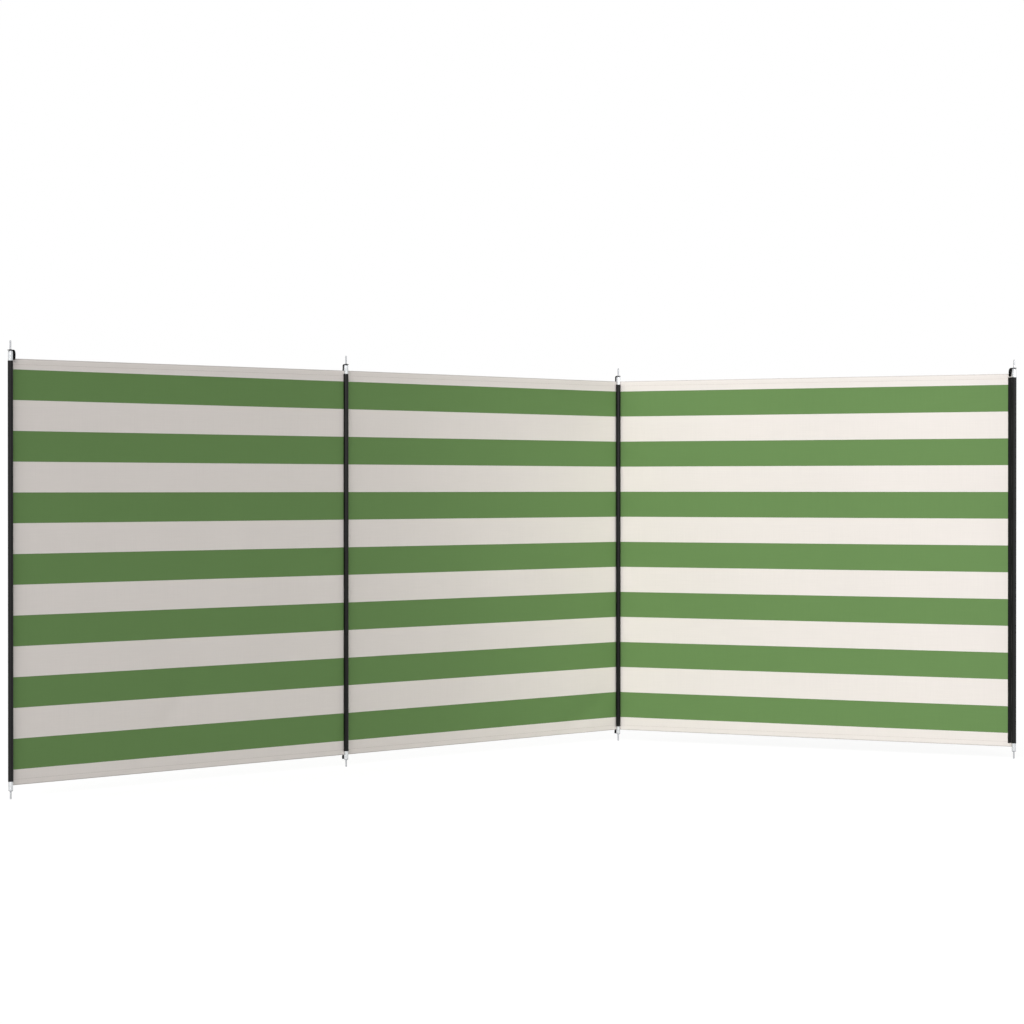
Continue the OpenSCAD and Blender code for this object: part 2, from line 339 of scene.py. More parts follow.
is_green = add_node(tree, "ShaderNodeMath", {0: is_green, 1: inside}, operation="MULTIPLY").outputs[0]
yarn_colour = add_node(tree, "ShaderNodeMix", {0: is_green, 6: linear(OFF_WHITE), 7: linear(GREEN)},
                       data_type="RGBA").outputs[2]
shade = add_node(tree, "ShaderNodeMapRange", {
    "Value": uneven, "From Min": 1.0, "From Max": 2.0, "To Min": 0.975, "To Max": 1.025}).outputs[0]
# Folding the height twice about half the cloth's height gives the distance from either edge.
half_height = (CLOTH_TOP - CLOTH_BOTTOM) / 2
from_edge = up_cloth
for fold in range(2):
    apart = add_node(tree, "ShaderNodeMath", {0: from_edge, 1: half_height}, operation="SUBTRACT")
    from_edge = add_node(tree, "ShaderNodeMath", {0: apart.outputs[0]}, operation="ABSOLUTE").outputs[0]
# Painted shade: a thin line along each folded edge is darkened, as the turn of the cloth would shade it
painted_edge_shade = add_node(tree, "ShaderNodeMapRange", {
    "Value": from_edge, "From Min": PAINTED_SHADE_MM * MM, "From Max": PAINTED_SHADE_END_MM * MM,
    "To Min": PAINTED_SHADE_LEVEL, "To Max": 1.0}).outputs[0]
shade = add_node(tree, "ShaderNodeMath", {0: shade, 1: painted_edge_shade}, operation="MULTIPLY").outputs[0]
dye_and_emboss(tree, surface, yarn_colour, shade, yarn_height, deep=0.12 * MM, strength=0.5)
print("stripes end", FIRST_STRIPE_MM + STRIPES * STRIPE_MM, "mm up the cloth")

# %% [markdown]
# ## Black sleeve cloth
# The sleeves are a plain black woven nylon, finer than the stripes, with a slight gloss on its
# folds. It isn't a pure black, because real dye never is.

# %% Make the black cloth
NYLON_YARN_MM = 1.2
NYLON_STREAK_MM = 2.5
NYLON_DYE = "#0E0E0E"

sleeve_cloth, tree, surface = new_material("black_woven_nylon", {
    "Roughness": 0.42, "Specular IOR Level": 0.2})
yarn_height, uneven = weave(tree, NYLON_YARN_MM, NYLON_STREAK_MM)
shade = add_node(tree, "ShaderNodeMapRange", {
    "Value": uneven, "From Min": 1.0, "From Max": 2.0, "To Min": 0.7, "To Max": 1.3}).outputs[0]
dye_and_emboss(tree, surface, linear(NYLON_DYE)[:3], shade, yarn_height, deep=0.15 * MM, strength=0.6)
print("black nylon is ready")

# %% [markdown]
# ## Ribbed webbing
# Webbing is woven from thick cords that lie side by side along it, and the weft that holds
# them makes ribs across its width. Two rows of ridges give both, and the colour is painted
# darker down in the grooves and lighter on the ridges, as painted shade and painted highlight.

# %% Make the webbing
RIB_MM = 1.4
CORD_MM = 0.9
WEBBING_DYE = "#050505"

webbing, tree, surface = new_material("black_ribbed_webbing", {
    "Roughness": 0.65, "Specular IOR Level": 0.06})
flat = add_node(tree, "ShaderNodeUVMap", uv_map="flat").outputs["UV"]
parts = add_node(tree, "ShaderNodeSeparateXYZ", {0: flat}).outputs
ridges = []
for direction, spacing in (("Y", RIB_MM), ("X", CORD_MM)):
    across = add_node(tree, "ShaderNodeMath", {0: parts[direction], 1: 1 / (spacing * MM)},
                      operation="MULTIPLY")
    ridge = add_node(tree, "ShaderNodeMath", {0: across.outputs[0], 1: 0.5}, operation="PINGPONG")
    ridges.append(ridge.outputs[0])
relief = add_node(tree, "ShaderNodeMath", {0: ridges[0], 1: ridges[1]}).outputs[0]
# Painted shade and highlight: the colour follows the relief, darker in the grooves and lighter on the
# ridges
shade = add_node(tree, "ShaderNodeMapRange", {"Value": relief, "To Min": 0.6, "To Max": 1.5}).outputs[0]
dye_and_emboss(tree, surface, linear(WEBBING_DYE)[:3], shade, relief, deep=0.3 * MM, strength=0.8)
print("ribbed webbing is ready")

# %% [markdown]
# ## Sewing thread
# Polyester thread is smooth and round, with a soft gloss. It is twisted from finer plies, and
# a fine noise makes it lighter and darker along its length, as their twist does.

# %% Make the two threads
PLY_PER_METRE = 1500.0

thread = {}
for name, dye_hex in (("off_white_polyester_thread", "#C4BAB3"), ("black_polyester_thread", "#1C1C1B")):
    thread[name], tree, surface = new_material(name, {"Roughness": 0.5, "Specular IOR Level": 0.35})
    place = add_node(tree, "ShaderNodeTexCoord").outputs["Object"]
    ply = add_node(tree, "ShaderNodeTexNoise", {
        "Vector": place, "Scale": PLY_PER_METRE, "Detail": 1.0}).outputs["Fac"]
    shade = add_node(tree, "ShaderNodeMapRange", {"Value": ply, "To Min": 0.8, "To Max": 1.15}).outputs[0]
    dye_and_emboss(tree, surface, linear(dye_hex)[:3], shade)
WHITE_THREAD = thread["off_white_polyester_thread"]
BLACK_THREAD = thread["black_polyester_thread"]
print("threads:", ", ".join(thread))

# %% [markdown]
# ## Bright plated steel
# The tubes are drawn steel with a bright plating: drawing leaves faint lines along the tube,
# and the plating makes their edges soft. The pins and plugs are turned on a lathe, so their
# marks run round them instead. Both keep a metal's own reflections, which pick up the white
# room, the dark sleeves and the cloth. The eyelets are brass, blackened so that they don't
# shine. Scuffs from sand make the gloss uneven.

# %% Make the metals
SCUFFS_PER_METRE = 90.0


def worked_metal(name, tint, metallic, roughness, mark_scale, strength):
    """A metal with fine tool marks; mark_scale is how often they repeat along each axis."""
    material, tree, surface = new_material(name, {"Metallic": metallic})
    place = add_node(tree, "ShaderNodeTexCoord").outputs["Object"]
    stretched = add_node(tree, "ShaderNodeMapping", {"Vector": place, "Scale": mark_scale}).outputs[0]
    marks = add_node(tree, "ShaderNodeTexNoise", {
        "Vector": stretched, "Scale": 1.0, "Detail": 2.0}).outputs["Fac"]
    scuffs = add_node(tree, "ShaderNodeTexNoise", {
        "Vector": place, "Scale": SCUFFS_PER_METRE, "Detail": 4.0}).outputs["Fac"]
    gloss = add_node(tree, "ShaderNodeMapRange", {
        "Value": scuffs, "From Min": 0.3, "From Max": 0.7,
        "To Min": roughness - 0.07, "To Max": roughness + 0.1})
    shade = add_node(tree, "ShaderNodeMapRange", {"Value": marks, "To Min": 0.9, "To Max": 1.06}).outputs[0]
    dye_and_emboss(tree, surface, linear(tint)[:3], shade, marks, deep=0.05 * MM, strength=strength)
    tree.links.new(gloss.outputs[0], surface.inputs["Roughness"])
    return material


drawn_steel = worked_metal("plated_drawn_steel", "#D7D9DB", 0.7, 0.26, (1500, 1500, 12), 0.4)
turned_steel = worked_metal("plated_turned_steel", "#B4B5B8", 0.9, 0.32, (60, 60, 2200), 0.4)
blackened_brass = worked_metal("blackened_brass", "#2A2A2C", 0.9, 0.38, (300, 300, 300), 0.3)
METALS = {"pole": drawn_steel, "foot_pin": turned_steel,
          "top_pin": turned_steel, "eyelet": blackened_brass}
for metal_kind, metal in METALS.items():
    for number in (1, 2, 3, 4):
        for metal_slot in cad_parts[f"{metal_kind}_{number}"].material_slots:
            metal_slot.material = metal
print("metal on four of each:", ", ".join(METALS))

# %% [markdown]
# ## Cutting cloth
# Every cloth piece starts as it does on a cutting table: flat, to size, with a grid of points
# on it. The flat place of each point is kept as its UV, so the weave and the stripes follow
# the cloth when it is folded. Then each point is laid where the sewn cloth has it, and a
# Solidify modifier gives the sheet its small thickness.

# %% Define how cloth is cut and laid
SAME_PLACE = 0.003 * MM


def cut_cloth(name, across, up, material):
    """Cut a flat sheet with points at these distances across and up, and return it."""
    bpy.ops.object.select_all(action="DESELECT")
    bpy.ops.mesh.primitive_grid_add(x_subdivisions=len(across) - 1, y_subdivisions=len(up) - 1, size=1)
    cloth = bpy.context.object
    cloth.name = name
    cloth.data.name = name
    columns = [round((v.co.x + 0.5) * (len(across) - 1)) for v in cloth.data.vertices]
    rows = [round((v.co.y + 0.5) * (len(up) - 1)) for v in cloth.data.vertices]
    cloth.data.uv_layers[0].name = "flat"
    uv = cloth.data.uv_layers["flat"].data
    for loop in cloth.data.loops:
        uv[loop.index].uv = (across[columns[loop.vertex_index]], up[rows[loop.vertex_index]])
    cloth.data.materials.append(material)
    return cloth, columns, rows


def lay(cloth, columns, rows, place):
    """Move every point of the flat sheet to place(column, row)."""
    for vertex, column, row in zip(cloth.data.vertices, columns, rows):
        vertex.co = place(column, row)
    cloth.data.update()


def modify(piece, kind, **settings):
    """Add one modifier with its settings and apply it."""
    bpy.context.view_layer.objects.active = piece
    modifier = piece.modifiers.new(kind.lower(), kind)
    for field, value in settings.items():
        setattr(modifier, field, value)
    bpy.ops.object.modifier_apply(modifier=modifier.name)


def smooth(piece, degrees=50):
    """Merge points that lie on each other, and shade smooth except at edges sharper than this angle."""
    bpy.ops.object.select_all(action="DESELECT")
    piece.select_set(True)
    bpy.context.view_layer.objects.active = piece
    bpy.ops.object.mode_set(mode="EDIT")
    bpy.ops.mesh.select_all(action="SELECT")
    bpy.ops.mesh.remove_doubles(threshold=SAME_PLACE)
    bpy.ops.object.mode_set(mode="OBJECT")
    bpy.ops.object.shade_smooth_by_angle(angle=math.radians(degrees))


def steps(start, end, longest):
    """Even steps from start up to but not including end, none longer than longest."""
    count = max(1, math.ceil((end - start) / longest - 1e-6))
    return [start + (end - start) * i / count for i in range(count)]


def stepped(stretches, end):
    """Steps along several stretches up to end: each stretch is its start and its longest step."""
    stops = [start for start, longest in stretches[1:]] + [end]
    places = []
    for (start, longest), stop in zip(stretches, stops):
        places += steps(start, stop, longest)
    return places + [end]


print("cloth can be cut and laid")

# %% [markdown]
# ## Round the corner
# The cloth is one strip that runs straight behind the first three poles, wraps the back of the
# corner pole and runs on to the fourth. One function knows that route: it takes a place on the
# straight strip and returns the place on the set-up windbreak. Cloth and stitches both use it.
# Taut cloth still has a slight ripple and a few faint creases, where a pole pulls askew, and
# the top hem is sewn a little lower towards the left end.

# %% Define the route of the cloth
SHEET = 0.3 * MM
LAYER_DEPTH = CLOTH_FRONT + 0.25 * MM
CORNER_ARC = LAYER_DEPTH * math.pi / 2
HEM_MM = 20.0
HEM_CLEAR_MM = 1.5
LAST_STRIPE = CLOTH_BOTTOM + (FIRST_STRIPE_MM + STRIPES * STRIPE_MM) * MM
TOP_HEM = CLOTH_TOP - (HEM_MM + HEM_CLEAR_MM) * MM
WAVE = 1.1 * MM
# Each ripple: how fast it turns along the cloth and up it, where it starts, and its share
RIPPLES = [(7.0, 3.1, 0.6, 0.6), (11.3, -5.2, 2.0, 0.4)]
# Each crease: the run and height of its middle, its slope in degrees, half length, half width, depth
CREASES = [(-0.20, 0.092, 19, 0.19, 0.045, 6.0 * MM),
           (LEFT_END + 0.28, 0.77, -38, 0.18, 0.032, 2.4 * MM),
           (LEFT_END + 0.84, 0.22, 43, 0.16, 0.04, 2.0 * MM)]
# Beside a pole the cloth is held flat, and a crease fades in over this share of the bay's bow
HELD_FLAT = 0.1
# How much lower the top edge is at each pole
DIP_MM = (6.5, 1.5, 0.5, 0.0)


def waver(run, height):
    """How far taut cloth stands in or out between its poles, where the wind and the poles pull it."""
    straight = run if run < 0 else run - CORNER_ARC
    bay_part = (straight % BAY) / BAY
    held = math.sin(math.pi * bay_part) if not 0 <= run <= CORNER_ARC else 0
    tall = height / (CLOTH_TOP - CLOTH_BOTTOM)
    ripple = sum(share * math.sin(along * run + upward * tall + start)
                 for along, upward, start, share in RIPPLES)
    slack = WAVE * held * ripple * (0.4 + 0.6 * math.sin(math.pi * tall))
    free = 1 - math.exp(-(held / HELD_FLAT) ** 2)
    for middle_run, middle_height, slope, half_length, half_width, deep in CREASES:
        from_middle = Vector((run - middle_run, height - middle_height))
        turned = Matrix.Rotation(-math.radians(slope), 2) @ from_middle
        slack += deep * free * math.exp(-(turned.x / half_length) ** 2 - (turned.y / half_width) ** 2)
    return slack


def dip(run):
    """How much lower the top edge is sewn at this run, evenly from pole to pole."""
    bays_along = 2 + run / BAY
    left_pole = min(2, max(0, int(bays_along)))
    change = DIP_MM[left_pole + 1] - DIP_MM[left_pole]
    return max(0.0, DIP_MM[left_pole] + change * (bays_along - left_pole)) * MM


def folded(run, depth, z):
    """The place on the windbreak of a point of the strip."""
    depth = depth + waver(run, z - CLOTH_BOTTOM)
    z = z - dip(run) * min(1.0, max(0.0, (z - LAST_STRIPE) / (TOP_HEM - LAST_STRIPE)))
    if run <= 0:
        return Vector((run, depth, z))
    if run >= CORNER_ARC:
        return Vector((depth, CORNER_ARC - run, z))
    turn = math.pi / 2 - run / LAYER_DEPTH
    return Vector((depth * math.cos(turn), depth * math.sin(turn), z))


RIGHT_RUN = CORNER_ARC + RIGHT_END
print(f"the strip runs {RIGHT_RUN - LEFT_END:.3f} m, {CORNER_ARC / MM:.1f} mm of it round the corner pole")

# %% [markdown]
# ## The turned hem
# The top and bottom edges are turned twice: 20 mm to the back, and then the raw edge is tucked
# in. From the tucked edge the cloth runs up, over a tiny turn, down the back and round the
# bottom edge, and on as the main layer. The profile is written once, in millimetres from the
# edge, and mirrored for the top.

# %% Write the profile of the cloth
EDGE_TURN = 0.375
TUCK_TURN = 0.19
TUCK_MM = 9.0


def arc(across, up, radius, angles):
    """Points on an arc round (across, up), at these angles in degrees."""
    turns = [math.radians(angle) for angle in angles]
    return [(across + radius * math.cos(turn), up + radius * math.sin(turn)) for turn in turns]


def hem_profile():
    """Points (depth behind the main layer, height above the edge), from the raw edge on."""
    tuck_depth = 2 * EDGE_TURN - 2 * TUCK_TURN
    top = HEM_MM - TUCK_TURN
    points = [(tuck_depth, top - TUCK_MM), (tuck_depth, top - TUCK_MM / 2), (tuck_depth, top)]
    points += arc(tuck_depth + TUCK_TURN, top, TUCK_TURN, (135, 90, 45))
    points += [(2 * EDGE_TURN, h) for h in (top, 15.0, 10.0, 5.0, EDGE_TURN)]
    points += arc(EDGE_TURN, EDGE_TURN, EDGE_TURN, (-45, -90, -135))
    return points + [(0.0, h) for h in (EDGE_TURN, 5.0, 10.0, 15.0, HEM_MM)]


HEM_POINTS = hem_profile()
HEIGHT_MM = (CLOTH_TOP - CLOTH_BOTTOM) / MM
middle = [(0.0, h) for h in steps(HEM_MM, HEIGHT_MM - HEM_MM, 20.0)[1:]]
PROFILE = HEM_POINTS + middle + [(d, HEIGHT_MM - h) for d, h in reversed(HEM_POINTS)]
lengths = [0.0]
for (d0, h0), (d1, h1) in zip(PROFILE, PROFILE[1:]):
    lengths.append(lengths[-1] + math.hypot(d1 - d0, h1 - h0))
start_of_main = next(i for i, (d, h) in enumerate(PROFILE) if d == 0.0)
FLAT_UP = [(t - lengths[start_of_main] + EDGE_TURN) * MM for t in lengths]

# %% [markdown]
# ## The two lengths of cloth
# The striped cloth is sewn from two lengths that meet behind the second pole. Points are close
# together where the cloth bends: at the fold beside that pole and round the corner pole. The
# cloth is taut between poles, so it is shaped directly, and no cloth simulation is needed.

# %% Cut and lay the cloth
SEAM_RUN = POLE[2].x
SEAM_GAP = 0.15 * MM
COARSE = 0.02
LEFT_RUNS = stepped([(LEFT_END, COARSE), (FOLD_RUN - 0.02, 0.003), (FOLD_RUN - 0.008, 0.001),
                     (FOLD_RUN + 0.008, COARSE)], SEAM_RUN - SEAM_GAP)
MAIN_RUNS = stepped([(SEAM_RUN + SEAM_GAP, COARSE), (-0.03, 0.0025), (0, 0.0012), (CORNER_ARC, 0.0025),
                     (CORNER_ARC + 0.03, COARSE)], RIGHT_RUN)


def make_cloth(name, runs):
    """Cut one length of striped cloth, lay it along the poles and give it its thickness."""
    cloth, columns, rows = cut_cloth(name, runs, FLAT_UP, striped)
    lay(cloth, columns, rows, lambda c, r: folded(
        runs[c], LAYER_DEPTH + PROFILE[r][0] * MM, CLOTH_BOTTOM + PROFILE[r][1] * MM))
    modify(cloth, "SOLIDIFY", thickness=SHEET, offset=0)
    smooth(cloth)
    print(f"{name} has {len(cloth.data.polygons)} faces and is cut {runs[-1] - runs[0]:.3f} m long")
    return cloth


cloth_left = make_cloth("cloth_left", LEFT_RUNS)
cloth_main = make_cloth("cloth_main", MAIN_RUNS)

# %% [markdown]
# ## Strips on the back of the cloth
# A narrow strip of the same cloth covers the seam behind the second pole, and the two ends of
# the windbreak are turned back behind the end poles. Each strip lies on the back of the main
# layer, between the two hems.

# %% Lay the backing strips
LAYER_GAP = 0.05 * MM
SEAM_STRIP = 0.014
TURN_BACK = 0.016
STRIP_LOW = CLOTH_BOTTOM + (HEM_MM + HEM_CLEAR_MM) * MM
STRIP_HIGH = TOP_HEM


def backing_strip(name, start, end):
    """A strip of striped cloth on the back, from one run to another."""
    runs = stepped([(start, 0.004)], end)
    up = stepped([(STRIP_LOW - CLOTH_BOTTOM, COARSE)], STRIP_HIGH - CLOTH_BOTTOM)
    strip, columns, rows = cut_cloth(name, runs, up, striped)
    depth = LAYER_DEPTH + SHEET + LAYER_GAP
    lay(strip, columns, rows, lambda c, r: folded(runs[c], depth, CLOTH_BOTTOM + up[r]))
    modify(strip, "SOLIDIFY", thickness=SHEET, offset=0)
    smooth(strip)
    return strip


seam_strip = backing_strip("seam_strip", SEAM_RUN - SEAM_STRIP / 2, SEAM_RUN + SEAM_STRIP / 2)
left_turn = backing_strip("left_end_turn", LEFT_END, LEFT_END + TURN_BACK)
right_turn = backing_strip("right_end_turn", RIGHT_RUN - TURN_BACK, RIGHT_RUN)
print("three backing strips,", round((STRIP_HIGH - STRIP_LOW) / MM), "mm high")

# %% [markdown]
# ## Sleeves round the middle poles
# A middle pole slides into a tube of black cloth that is sewn to the stripes behind it. The
# tube starts as an open cylinder. Its ends are turned inwards, which makes the thick rim that
# a hemmed sleeve has, and the wall gets its thickness last.

# %% Model the middle sleeves
SLEEVE_WALL = 0.35 * MM
TUBE_MID = SLEEVE_OUT - SLEEVE_WALL / 2
SLEEVE_TURN = 0.012


def cylinder_uv(piece, radius):
    """Give a tube a flat map in metres: round the tube, and up it."""
    layers = piece.data.uv_layers
    uv = layers["UVMap"] if "UVMap" in layers else layers.new()
    uv.name = "flat"
    for polygon in piece.data.polygons:
        corners = [piece.data.vertices[v].co for v in polygon.vertices]
        around = [math.atan2(corner.y, corner.x) for corner in corners]
        wrap = max(around) - min(around) > math.pi
        for loop, corner, a in zip(polygon.loop_indices, corners, around):
            a = a + 2 * math.pi if wrap and a < 0 else a
            uv.data[loop].uv = (a * radius, corner.z)


def select_rim(piece, height):
    """Select only the open rim at this height."""
    bpy.ops.object.mode_set(mode="OBJECT")
    for vertex in piece.data.vertices:
        vertex.select = abs(vertex.co.z - height) < 0.01 * MM
    for edge in piece.data.edges:
        edge.select = all(piece.data.vertices[v].select for v in edge.vertices)
    for polygon in piece.data.polygons:
        polygon.select = False
    bpy.ops.object.mode_set(mode="EDIT")


def middle_sleeve(number):
    """A cloth tube round one pole, with both ends turned inwards."""
    bpy.ops.object.select_all(action="DESELECT")
    height = SLEEVE_HIGH - SLEEVE_LOW
    bpy.ops.mesh.primitive_cylinder_add(
        vertices=40, radius=TUBE_MID, depth=height, end_fill_type="NOTHING",
        location=(0, 0, SLEEVE_LOW + height / 2))
    piece = bpy.context.object
    piece.name = piece.data.name = f"sleeve_cloth_{number}"
    bpy.ops.object.transform_apply(location=True, rotation=True, scale=True)
    bpy.ops.object.mode_set(mode="EDIT")
    bpy.ops.mesh.select_mode(type="EDGE")
    rim_in = (TUBE_MID - SLEEVE_WALL - LAYER_GAP) / TUBE_MID
    for rim, turn in ((SLEEVE_HIGH, -SLEEVE_TURN), (SLEEVE_LOW, SLEEVE_TURN)):
        select_rim(piece, rim)
        bpy.ops.mesh.extrude_region_move()
        bpy.ops.transform.resize(value=(rim_in, rim_in, 1), center_override=(0, 0, rim))
        bpy.ops.mesh.extrude_region_move(TRANSFORM_OT_translate={"value": (0, 0, turn)})
    bpy.ops.mesh.select_all(action="SELECT")
    bpy.ops.mesh.normals_make_consistent(inside=False)
    bpy.ops.object.mode_set(mode="OBJECT")
    cylinder_uv(piece, TUBE_MID)
    piece.data.materials.append(sleeve_cloth)
    modify(piece, "SOLIDIFY", thickness=SLEEVE_WALL, offset=0)
    modify(piece, "BEVEL", width=0.1 * MM, segments=2, limit_method="ANGLE",
           angle_limit=math.radians(50))
    piece.data.transform(Matrix.Translation(POLE[number]))
    smooth(piece)
    return piece


sleeves = {number: middle_sleeve(number) for number in (2, 3)}
print("middle sleeves:", [len(s.data.polygons) for s in sleeves.values()], "faces")

# %% [markdown]
# ## Sleeves of the end poles
# At an end pole the sleeve is one strip of black cloth. It lies flat on the stripes as a flap,
# goes once round the pole and comes back on top of the flap, where rows of stitches hold both
# layers. Where it leaves the pole it makes a nook, and that shows as a dark groove. The strip
# is cut flat and laid along this plan: "along" runs from the pole towards the cloth.

# %% Model the end sleeves
FLAP_MM = {1: 21.0, 4: 30.0}
LEAVE_ANGLE = 50
ROUND_MM = TUBE_MID / MM
UNDER_MM = CLOTH_FRONT / MM - 0.48
OVER_MM = UNDER_MM - 0.37


def end_sleeve_plan(flap):
    """Points (along, depth) in millimetres: out from under the flap, round the pole, back on top."""
    points = [(a, UNDER_MM) for a in (flap, flap - 6.0, 12.0, 6.0)]
    for degrees in range(90, 360 + LEAVE_ANGLE, 8):
        ease = max(0.0, (120 - degrees) / 30) * (UNDER_MM - ROUND_MM)
        a = math.radians(degrees)
        points.append(((ROUND_MM + ease) * math.cos(a), (ROUND_MM + ease) * math.sin(a)))
    leave = math.radians(LEAVE_ANGLE)
    nook = (OVER_MM - ROUND_MM * math.sin(leave)) / (1 + math.sin(leave))
    centre = ((ROUND_MM + nook) * math.cos(leave), (ROUND_MM + nook) * math.sin(leave))
    points += arc(*centre, nook, (LEAVE_ANGLE + 180, 205, 180, 155, 130, 110, 90))
    return points + [(a, OVER_MM) for a in (9.0, 12.0, flap - 6.0, flap)]


# The right bay is laid mirrored, which turns its faces inwards, so they are flipped back.
def at_end(number, along, depth, z):
    """A place at an end pole, where along is towards the cloth and depth is towards its back."""
    if number == 1:
        return POLE[1] + Vector((along, depth, z))
    return POLE[4] + Vector((depth, along, z))


def end_sleeve(number):
    """Cut the strip of one end sleeve and lay it round its pole."""
    plan = end_sleeve_plan(FLAP_MM[number])
    across = [0.0]
    for (a0, d0), (a1, d1) in zip(plan, plan[1:]):
        across.append(across[-1] + math.hypot(a1 - a0, d1 - d0) * MM)
    up = stepped([(SLEEVE_LOW, 0.03)], SLEEVE_HIGH)
    piece, columns, rows = cut_cloth(f"sleeve_cloth_{number}", across, up, sleeve_cloth)
    lay(piece, columns, rows, lambda c, r: at_end(number, plan[c][0] * MM, plan[c][1] * MM, up[r]))
    if number == 4:
        piece.data.flip_normals()
    modify(piece, "SOLIDIFY", thickness=SLEEVE_WALL * 0.9, offset=0)
    smooth(piece)
    return piece


for number in (1, 4):
    sleeves[number] = end_sleeve(number)

# %% [markdown]
# ## Webbing ribbons
# The straps over the poles and the peg loops are black webbing, 12 and 10 mm wide. A ribbon is
# laid along stations, each a place and a direction across it, so it can bend and twist. Its
# rims are bevelled round, and the webbing is laid double, as it is in a sewn loop.

# %% Define a webbing ribbon
WEB = 1.05 * MM


def ribbon(name, stations, width):
    """Lay webbing along stations of (place, direction across)."""
    across = [width * (i / 6 - 0.5) for i in range(7)]
    up = [0.0]
    for (place, _), (onward, _) in zip(stations, stations[1:]):
        up.append(up[-1] + (onward - place).length)
    piece, columns, rows = cut_cloth(name, across, up, webbing)
    lay(piece, columns, rows, lambda c, r: stations[r][0] + stations[r][1].normalized() * across[c])
    modify(piece, "SOLIDIFY", thickness=WEB, offset=0)
    modify(piece, "BEVEL", width=WEB * 0.3, segments=2, limit_method="ANGLE",
           angle_limit=math.radians(60))
    smooth(piece)
    return piece


def eased(points, per_gap=5):
    """A smooth line of stations through a few (place, direction) points."""
    places = [points[0][0]] + [place for place, across in points] + [points[-1][0]]
    result = []
    for i in range(len(points) - 1):
        before, start, end, after = places[i:i + 4]
        for k in range(per_gap):
            t = k / per_gap
            curve = (2 * before - 5 * start + 4 * end - after) * t * t
            place = 0.5 * (2 * start + (end - before) * t + curve
                           + (3 * start - before - 3 * end + after) * t ** 3)
            result.append((place, points[i][1].lerp(points[i + 1][1], t)))
    return result + [points[-1]]


print("webbing ribbons can bend and twist")

# %% [markdown]
# ## Straps over the poles
# A strap stops the cloth from sliding down its pole. Its end lies on the pole's top with an
# eyelet through it, which the top pin goes through. At a middle pole it drops close behind the
# tube and is sewn to the back of the hem. At an end pole its inner layer hugs the tube, its
# outer layer bulges, and both end on the front of the hem.

# %% Model the straps
STRAP_WIDTH = 12 * MM
TOP = (STRAP_LOW + STRAP_HIGH) / 2
HEM_BACK = LAYER_DEPTH + 2 * EDGE_TURN * MM + SHEET / 2
HALF_GAP = 0.54 * MM
EYELET_HOLE = 4.5 * MM


def layer_ends(side):
    """Depth of a layer's tail on the hem, and its height over the pole: side is 1 outside, -1 inside."""
    tail = HEM_BACK + WEB / 2 + LAYER_GAP + (WEB + LAYER_GAP) * (side + 1) / 2
    return tail, TOP + HALF_GAP * side


def middle_strap_line(number, side):
    """One layer of a middle strap in (depth, height), from its tail to its free end over the pole."""
    tail, top = layer_ends(side)
    out = HALF_GAP * side
    away = 0.4 * MM + 0.9 * MM * side
    line = [(tail, CLOTH_TOP - 0.018), (tail, CLOTH_TOP - 0.004), (9.8 * MM + away, CLOTH_TOP + 0.006),
            (9.8 * MM + away, TOP - 5.4 * MM), (8.0 * MM + away, TOP - 1.4 * MM + out), (4.6 * MM, top),
            (-3 * MM, top), (-7.4 * MM, top)]
    return eased([(POLE[number] + Vector((0, depth, z)), Vector((1, 0, 0))) for depth, z in line])


def end_strap_line(number, side):
    """One layer of an end strap in (along, depth, height), from the front of the hem."""
    top = TOP + HALF_GAP * side
    if side > 0:
        line = [(20.2, 3.2, CLOTH_TOP - 0.0105), (21.4, 3.2, CLOTH_TOP - 0.002),
                (21.7, 3.2, CLOTH_TOP + 0.006), (20.8, 2.8, CLOTH_TOP + 0.0125),
                (18.0, 2.0, TOP - 3.0 * MM), (13.8, 0.8, TOP), (9.0, 0, top)]
    else:
        line = [(18.8, 3.2, CLOTH_TOP - 0.0105), (17.4, 3.2, CLOTH_TOP - 0.005),
                (15.4, 3.2, CLOTH_TOP + 0.002), (14.4, 3.2, CLOTH_TOP + 0.008),
                (13.4, 2.6, TOP - 6.0 * MM), (11.0, 1.4, TOP - 2.4 * MM), (7.0, 0, top)]
    line += [(0.0, 0, top), (-7.4, 0, top)]
    across = at_end(number, 0, -1, 0) - POLE[number]
    return eased([(at_end(number, a * MM, d * MM, z), across) for a, d, z in line])


def strap(number):
    """One strap: two layers joined by a turn at the free end, with a hole for its eyelet."""
    line = middle_strap_line if number in (2, 3) else end_strap_line
    outer, inner = line(number, 1), line(number, -1)
    tip, across = (outer[-1][0] + inner[-1][0]) / 2, outer[-1][1]
    onward = (outer[-1][0] - outer[-2][0]).normalized()
    turn = [(tip + onward * out + Vector((0, 0, up)), across)
            for out, up in arc(0, 0, HALF_GAP, (60, 30, 0, -30, -60))]
    piece = ribbon(f"strap_webbing_{number}", outer + turn + inner[::-1], STRAP_WIDTH)
    bpy.ops.object.select_all(action="DESELECT")
    bpy.ops.mesh.primitive_cylinder_add(vertices=32, radius=EYELET_HOLE, depth=0.02,
                                        location=POLE[number] + Vector((0, 0, TOP)))
    punch = bpy.context.object
    modify(piece, "BOOLEAN", operation="DIFFERENCE", object=punch, solver="EXACT", use_self=True)
    bpy.data.objects.remove(punch)
    smooth(piece)
    return piece


straps = {number: strap(number) for number in (1, 2, 3, 4)}
print("straps:", [len(s.data.polygons) for s in straps.values()], "faces")

# %% [markdown]
# ## Peg loops
# Below the second pole and the corner pole a small loop of webbing hangs behind the tube. A
# tent peg or a thin cord goes through it. Both of its ends are sewn to the back of the hem.

# %% Model the peg loops
near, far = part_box("peg_loop_2")
LOOP_WIDTH = far.x - near.x
LOOP_LOW = near.z
LOOP_MID = 2.8 * MM


